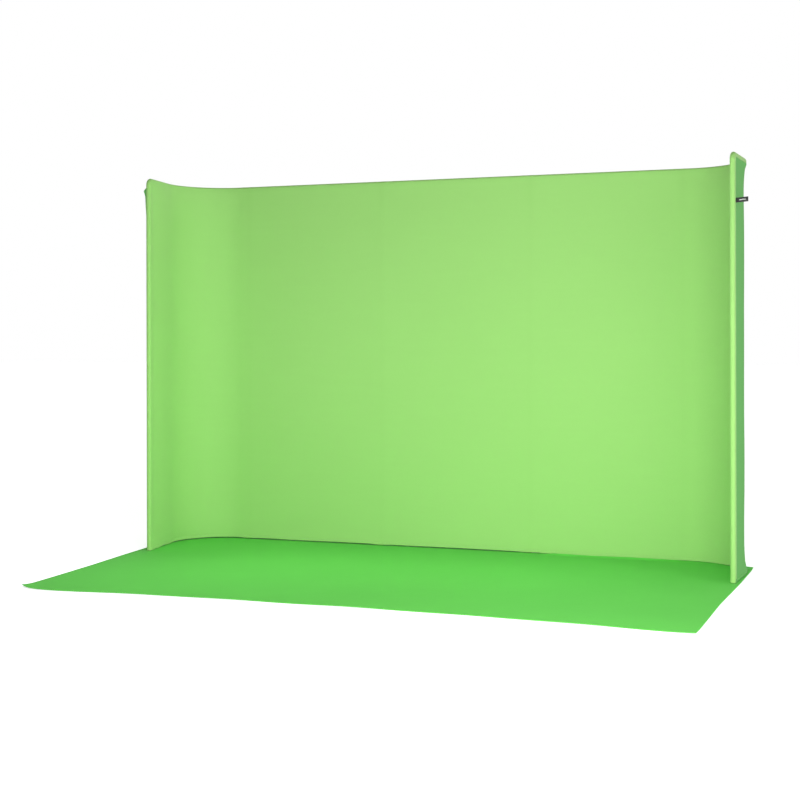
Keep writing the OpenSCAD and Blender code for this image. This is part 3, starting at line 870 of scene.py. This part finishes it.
def build_tapes():
    V, UV, F, k = [], [], [], 0
    zt = np.concatenate([np.linspace(Z_LOW + 0.0004, 2.085, 120), np.linspace(2.092, 2.160, 22)])
    for side in (-1, 1):
        prof = [(0.0006, 0.00006), (0.0006, 0.00074), (0.0016, 0.00080), (0.0030, 0.00078), (0.0050, 0.00066), (0.0080, 0.00060),
                (0.0100, 0.00064), (0.0111, 0.00078), (0.0119, 0.00060), (0.0120, 0.00020), (0.0116, 0.00004)]
        for z in zt:
            for d, h in prof:
                wav = 0.00012 * math.sin(z * 240 + side) * (d / 0.012)
                V.append(wing_left(ZIP_S + side * d, FACE + h + wav, z))
                UV.append((ZIP_S + side * d, z))
        m = len(prof)
        F += grid_faces(len(zt), m, k, flip=side > 0)
        # close the section and both ends
        for i in range(len(zt) - 1):
            q = (k + i * m + m - 1, k + i * m, k + (i + 1) * m, k + (i + 1) * m + m - 1)
            F.append(q[::-1] if side > 0 else q)
        F.append(tuple(k + j for j in range(m))[::(-1 if side < 0 else 1)])
        F.append(tuple(k + (len(zt) - 1) * m + j for j in range(m))[::(1 if side < 0 else -1)])
        k += m * len(zt)
    o = mesh_piece("zip_tape_pair", np.array(V), F, tape_mat, UV)
    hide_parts("zip_tapes")
    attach(o, "cover")
    return o


def build_teeth():
    """Two rows of coil teeth that lie alternately, with their tips almost on the centre line."""
    pitch = 0.0015
    n = int((2.1495 - 0.0142) / pitch)
    # one tooth: a rounded bar that swells at its tip, lying across the tape
    xs = [0.0, 0.0004, 0.0016, 0.0021, 0.00245]
    half = [0.00044, 0.00050, 0.00046, 0.00060, 0.00034]
    hts = [0.0010, 0.00150, 0.00165, 0.00172, 0.00120]
    V, F, k = [], [], 0
    seg = 6
    for side in (-1, 1):
        for i in range(n):
            zc = 0.0146 + pitch * (i + (0.5 if side > 0 else 0.0))
            if zc > 2.1492:
                continue
            for x, h, t in zip(xs, half, hts):
                s = ZIP_S + side * (0.0028 - x)
                for j in range(seg):
                    a = 2 * math.pi * (j + 0.5) / seg
                    V.append(wing_left(s, FACE + 0.0008 + t * (0.5 - 0.5 * math.sin(a)), zc + h * math.cos(a)))
            F += grid_faces(len(xs), seg, k, flip=side < 0, wrap=True)
            F.append(tuple(k + j for j in range(seg))[::(1 if side < 0 else -1)])
            F.append(tuple(k + (len(xs) - 1) * seg + j for j in range(seg))[::(-1 if side < 0 else 1)])
            k += seg * len(xs)
    V = np.array(V).reshape(-1, 3)
    o = mesh_piece("zip_teeth_rows", V, F, coil_mat)
    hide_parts("zip_teeth")
    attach(o, "cover")
    return o


tapes = build_tapes()
teeth = build_teeth()
zs_ = np.linspace(0.012, 2.150, 300)
one = np.ones((len(zs_), 1))
cw, nw = plan(np.full(len(zs_), -(U_END - ZIP_S)))
zdir = np.concatenate([nw, np.zeros((len(nw), 1))], 1)
v, f = gather([stitch_run(wing_left(np.full(len(zs_), ZIP_S + s), FACE + 0.00062, zs_), zdir) for s in (-0.0095, -0.0066, 0.0066, 0.0095)])
zip_st = mesh_piece("zip_stitches", v, f, thread)
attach(zip_st, "cover")

# ---------------------------------------------------------------- seam allowance that stands up beside the zip's top
FLAP = np.array([(1.880, 0.0006), (1.905, 0.0012), (1.960, 0.0034), (2.012, 0.0056), (2.060, 0.0082), (2.092, 0.0108), (2.106, 0.0146),
                 (2.117, 0.0186), (2.123, 0.0196), (2.128, 0.0178), (2.134, 0.0120), (2.140, 0.0066), (2.1445, 0.0020), (2.147, 0.0006)])


def build_flap():
    """A folded edge of cloth sewn in the post's outer seam; its upper end puckers out to a point."""
    z = np.unique(np.concatenate([np.linspace(1.880, 2.090, 60), np.linspace(2.090, 2.147, 58)]))
    h = np.interp(z, FLAP[:, 0], FLAP[:, 1])
    m = 18
    V, UV = [], []
    for zi, hi in zip(z, h):
        half = 0.00055 + 0.0011 * (hi / 0.0196) * (0.5 + 0.5 * math.sin(zi * 95.0))
        lean = 0.0050 + 0.0016 * math.sin(zi * 61.0) * (hi / 0.0196)
        for j in range(m):
            a = math.pi * j / (m - 1)
            # up one side, over the fold and down the other
            f = 1 - abs(math.cos(a)) ** 1.6
            side = math.cos(a)
            curl = 0.0022 * f * f * math.sin(zi * 42.0 + 0.8) * (hi / 0.0196)
            V.append(wing_left(lean + side * half * (1.15 - 0.5 * f) + curl, R_COVER - 0.0006 + (hi + 0.0006) * f, zi))
            UV.append((side * hi + 3.0, zi))
    n = len(z)
    F = grid_faces(n, m)
    F.append(tuple(range(m))[::-1])
    F.append(tuple((n - 1) * m + j for j in range(m)))
    # the flap takes the back sheet's painted-shade colour
    o = mesh_piece("seam_flap", np.array(V), F, rear_painted_shade_mat, UV, True, {"painted_shade": np.zeros(n * m)})
    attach(o, "cover")
    return o


flap = build_flap()
# dark thread stitched across the flap's tip makes that tip read dark
tz = np.linspace(2.119, 2.127, 4)
tack_runs = []
for zi in tz:
    hi = float(np.interp(zi, FLAP[:, 0], FLAP[:, 1]))
    line = np.array([wing_left(0.0050 + t * 0.0034, R_COVER + hi * (0.90 - 0.9 * t * t) + 0.0005, zi) for t in np.linspace(-0.55, 0.55, 7)])
    c_, n_ = plan(np.array(-(U_END - 0.005)))
    tack_runs.append(stitch_run(line.reshape(-1, 3), np.tile([n_[0], n_[1], 0.0], (7, 1)), length=0.0022, gap=0.0003, width=0.0011, rise=0.0007))
v, f = gather(tack_runs)
tack = mesh_piece("flap_bar_tack", v, f, thread_mat("dark_thread", (0.040, 0.060, 0.040)))
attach(tack, "cover")

# ---------------------------------------------------------------- label flag
LABEL_Z = float((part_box("woven_label")[0][2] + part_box("woven_label")[1][2]) / 2)


def label_material():
    m = Nodes("label_weave")
    uv = m.uv_co()
    sep = m.add("ShaderNodeSeparateXYZ")
    m.link(uv, sep.inputs[0])
    u, v_ = sep.outputs[0], sep.outputs[1]
    tw = m.math("MULTIPLY_ADD", m.math("SINE", m.math("MULTIPLY", m.math("ADD", m.math("MULTIPLY", u, 1 / 0.0005), m.math("MULTIPLY", v_, 1 / 0.0005)), 2 * math.pi)), 0.5, 0.5)
    # one plain pale woven bar and two fine border lines; no lettering
    inside = m.math("MULTIPLY", m.math("COMPARE", u, 0.036, 0.0165), m.math("COMPARE", v_, 0.0125, 0.0028))
    lines = m.math("ADD", m.math("COMPARE", v_, 0.0022, 0.00035), m.math("COMPARE", v_, 0.0228, 0.00035), clamp=True)
    c = m.mix(tw, (0.006, 0.006, 0.007), (0.016, 0.016, 0.018))
    c = m.mix(m.math("MULTIPLY", inside, 0.82), c, m.mix(tw, (0.42, 0.43, 0.42), (0.62, 0.63, 0.61)))
    c = m.mix(m.math("MULTIPLY", lines, 0.35), c, (0.20, 0.20, 0.20))
    m.colour(c)
    m.roughness(m.math("MULTIPLY_ADD", tw, 0.1, 0.62))
    m.normal(m.bump(tw, 0.00008, 0.6))
    m.set(Sheen_Weight=0.15, Sheen_Roughness=0.4)
    return m.mat


def build_label():
    """A ribbon folded back on itself, its two ends sewn in the seam."""
    L, H, n, nh = 0.064, 0.025, 26, 9
    prof = []
    for i in range(n + 1):
        t = i / n
        prof.append((t * (L - 0.0008), 0.00042 + 0.0005 * math.sin(t * math.pi) ** 2))
    for k in range(1, 8):
        a = math.pi / 2 - math.pi * k / 8
        prof.append((L - 0.0008 + 0.0007 * math.cos(a), 0.00042 * math.sin(a)))
    for i in range(n, -1, -1):
        t = i / n
        prof.append((t * (L - 0.0008), -0.00042 - 0.0003 * math.sin(t * math.pi) ** 2))
    V, UV = [], []
    dist = 0.0
    last = None
    for x, off in prof:
        if last is not None:
            dist += math.dist(last, (x, off))
        last = (x, off)
        for j in range(nh):
            h = j / (nh - 1)
            t = x / L
            z = LABEL_Z + (h - 0.5) * H + 0.0042 * t ** 1.3
            bow = 0.0030 * math.sin(t * 2.6) + 0.0012 * math.sin(t * 5.5 + h * 1.5) * t
            c, nn = plan(np.array(U_END - SEAM_S))
            p2 = c + nn * (FACE + x - 0.001) + np.array([nn[1], -nn[0]]) * (off + bow)
            V.append((p2[0], p2[1], z))
            UV.append((x, h * H))
    F = grid_faces(len(prof), nh)
    o = mesh_piece("label_ribbon", V, F, label_material(), UV)
    m = thicken(o, 0.0003, 0.0)
    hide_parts("woven_label")
    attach(o, "cover")
    return o


label = build_label()

# ---------------------------------------------------------------- floor mat
def mat_edges():
    fl, fr = np.array((-1.713, -0.922)), np.array((1.638, -0.961))
    right = np.array([(1.638, -0.961), (1.644, -0.863), (1.671, -0.287), (1.714, 0.285), (1.739, 0.725), (1.740, 0.824)])
    left = np.array([(-1.713, -0.922), (-1.717, -0.72), (-1.728, -0.244), (-1.746, 0.125), (-1.752, 0.319), (-1.758, 0.831)])
    back = np.array([(-1.758, 0.831), (-1.40, 0.961), (1.40, 0.961), (1.740, 0.824)])

    def along(pl, t):
        d = np.concatenate([[0], np.cumsum(np.linalg.norm(np.diff(pl, axis=0), axis=1))])
        t = np.asarray(t) * d[-1]
        return np.stack([np.interp(t, d, pl[:, k]) for k in range(2)], -1)

    def front_edge(t):
        p = fl[None] * (1 - t[:, None]) + fr[None] * t[:, None]
        p[:, 1] += 0.050 * np.sin(np.pi * np.clip(t, 0, 1) ** 1.45)
        p[:, 1] -= 0.052 * (t / 0.05) * np.exp(1 - t / 0.05)
        return p
    return front_edge, lambda t: along(back, t), lambda t: along(left, t), lambda t: along(right, t)


def build_mat():
    fe, be, le, re_ = mat_edges()
    # finer rows at the edges, where the cloth lifts a little
    def bias(n, e):
        t = np.linspace(0, 1, n)
        return t + e * (-np.sin(2 * math.pi * t)) / (2 * math.pi)
    tu, tv = bias(150, 0.55), bias(84, 0.6)
    tv = np.unique(np.concatenate([tv[(tv < 0.945) | (tv > 0.982)], np.linspace(0.945, 0.982, 19)]))
    B, T, Lf, R = fe(tu), be(tu), le(tv), re_(tv)
    U, Vv = np.meshgrid(tu, tv)
    P = ((1 - Vv)[..., None] * B[None] + Vv[..., None] * T[None] + (1 - U)[..., None] * Lf[:, None] + U[..., None] * R[:, None]
         - ((1 - U) * (1 - Vv))[..., None] * B[0] - (U * (1 - Vv))[..., None] * B[-1] - ((1 - U) * Vv)[..., None] * T[0] - (U * Vv)[..., None] * T[-1])
    x, y = P[..., 0], P[..., 1]
    free = 1 - smooth(y, -0.15, 0.15)              # only the part in front of the wall moves
    side = np.minimum(np.minimum(1 - smooth(Vv, 0, 0.05), 1.0), 1.0)
    ripple = 0.0007 * (1 + np.sin(x * 7.3 + 0.7 * np.sin(y * 5.0))) * free * (0.25 + 0.75 * (1 - smooth(y, -0.9, -0.5)))
    edge = 0.0011 * (1 + np.sin(x * 11.0 + 1.2)) * np.exp(-(Vv / 0.012)) * free
    dl = np.sqrt((x + 1.713) ** 2 + (y + 0.922) ** 2)
    curl = 0.0070 * np.exp(-(dl / 0.055) ** 1.6)
    dr = np.sqrt((x - 1.638) ** 2 + (y + 0.961) ** 2)
    curl = curl + 0.0022 * np.exp(-(dr / 0.07) ** 1.5)
    # pushed up a little against the lower edge of the right-hand bay
    ridge = 0.0088 * np.exp(-((y - (WALL_Y - R_COVER - 0.024)) / 0.0105) ** 2) * smooth(x, 0.54, 0.62) * (1 - smooth(x, 1.30, 1.42))
    ridge = ridge * (0.85 + 0.15 * np.sin(x * 13.0))
    z = 0.0017 + ripple + edge + curl + ridge
    V = np.stack([x, y, z], -1).reshape(-1, 3)
    UV = np.stack([x, y], -1).reshape(-1, 2)
    o = mesh_piece("floor_mat_cloth", V, grid_faces(len(tv), len(tu)), floor_cloth, UV)
    thicken(o, 0.0013)
    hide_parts("floor_mat")
    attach(o, "mat")
    return o


mat_piece = build_mat()

# ---------------------------------------------------------------- stage, light and camera
def pale_floor():
    m = Nodes("pale_floor")
    co = m.obj_co()
    n = m.noise(co, 0.8, 3.0, 0.5)
    m.colour(m.mix(m.math("MULTIPLY", n, 0.03), (0.90, 0.90, 0.90), (0.93, 0.93, 0.92)))
    m.set(Roughness=0.9)
    # seen white from anywhere, without lighting the object from below
    seen = m.add("ShaderNodeLightPath").outputs["Is Camera Ray"]
    m.set(Emission_Color=(1.0, 1.0, 1.0, 1.0))
    m.link(m.math("MULTIPLY", seen, 0.62), m.bsdf.inputs["Emission Strength"])
    return m.mat


me = bpy.data.meshes.new("studio_floor")
S = 60.0
me.from_pydata([(-S, -S, -0.0004), (S, -S, -0.0004), (S, S, -0.0004), (-S, S, -0.0004)], [], [(0, 1, 2, 3)])
me.materials.append(pale_floor())
floor = link(bpy.data.objects.new("studio_floor", me))

sc = bpy.context.scene


def studio_world():
    """White all round behind the wall, with a weaker, softly graded room in front of it."""
    w = bpy.data.worlds.new("studio")
    sc.world = w
    w.use_nodes = True
    nt = w.node_tree
    nt.nodes.clear()
    out = nt.nodes.new("ShaderNodeOutputWorld")
    bg = nt.nodes.new("ShaderNodeBackground")
    nt.links.new(bg.outputs[0], out.inputs[0])
    co = nt.nodes.new("ShaderNodeTexCoord")
    sep = nt.nodes.new("ShaderNodeSeparateXYZ")
    nt.links.new(co.outputs["Generated"], sep.inputs[0])

    def grade(sock, lo, hi, a, b):
        n = nt.nodes.new("ShaderNodeMapRange")
        n.interpolation_type = "SMOOTHSTEP"
        for key, val in (("From Min", lo), ("From Max", hi), ("To Min", a), ("To Max", b)):
            n.inputs[key].default_value = val
        nt.links.new(sock, n.inputs["Value"])
        return n.outputs[0]

    def op(kind, a, b):
        n = nt.nodes.new("ShaderNodeMath")
        n.operation = kind
        nt.links.new(a, n.inputs[0])
        nt.links.new(b, n.inputs[1])
        return n.outputs[0]

    X, Y, Z = sep.outputs
    front = grade(Y, -0.25, 0.25, 1.0, 0.0)
    behind = grade(Y, -0.25, 0.25, 0.0, 1.0)
    room = op("MULTIPLY", grade(X, -0.3, 0.3, *ROOM), grade(Z, 0.35, 0.75, 1.0, 0.0))
    wall = grade(Z, 0.35, 0.75, 1.0, BEHIND_HIGH)
    total = op("ADD", op("MULTIPLY", front, room), op("MULTIPLY", behind, wall))
    # seen directly, the room is plain white all round
    seen = nt.nodes.new("ShaderNodeLightPath").outputs["Is Camera Ray"]
    nt.links.new(op("MAXIMUM", total, seen), bg.inputs[1])
    bg.inputs[0].default_value = (1.0, 1.0, 1.0, 1.0)


ROOM = (0.25, 0.98)
BEHIND_HIGH = 0.5
studio_world()


def area(name, loc, aim, size, power, colour=(1, 1, 1)):
    d = bpy.data.lights.new(name, "AREA")
    d.shape = "RECTANGLE"
    d.size = d.size_y = size
    d.energy = power
    d.color = colour
    o = link(bpy.data.objects.new(name, d))
    o.location = loc
    o.rotation_euler = (Vector(aim) - Vector(loc)).to_track_quat("-Z", "Y").to_euler()
    o.visible_camera = False
    return o


area("key", (0.8, -2.78, 0.7), (0.6, 0.93, 1.0), 1.4, 66.8)
area("key_wide", (2.4, -3.58, 1.0), (0.2, 0.93, 1.1), 1.6, 50.0)
area("edge", (3.4, -1.18, 1.1), (0.0, 0.63, 1.0), 1.6, 15.5)
top = area("overhead", (0.1, 0.18, 2.9), (0.1, 0.18, 0.0), 1.0, 3.4)
top.data.size, top.data.size_y, top.data.spread = 2.6, 0.5, math.radians(44.0)
left_top = area("overhead_left", (-1.30, -0.50, 2.7), (-1.30, -0.50, 0.0), 1.0, 1.9)
left_top.data.spread = math.radians(56.0)
area("side", (-2.6, -2.98, 1.3), (0.5, 0.93, 1.0), 1.6, 4.4)
left = area("side_near", (0.9, -0.6, 1.2), (-1.8, 0.5, 1.15), 0.7, 0.8)
left.data.spread = math.radians(70.0)

cam_d = bpy.data.cameras.new("camera")
cam_d.lens = 60.36
cam_d.sensor_width = 36.0
cam_d.shift_y = -60.01 / 800.0
cam_d.clip_end = 200.0
cam = link(bpy.data.objects.new("camera", cam_d))
cam.location = (2.3054, -6.7004, 1.2416)
cam.rotation_euler = (math.radians(90.0), math.radians(0.1119), math.radians(19.0446))
sc.camera = cam
sc.view_settings.view_transform = "Standard"
sc.view_settings.look = "None"
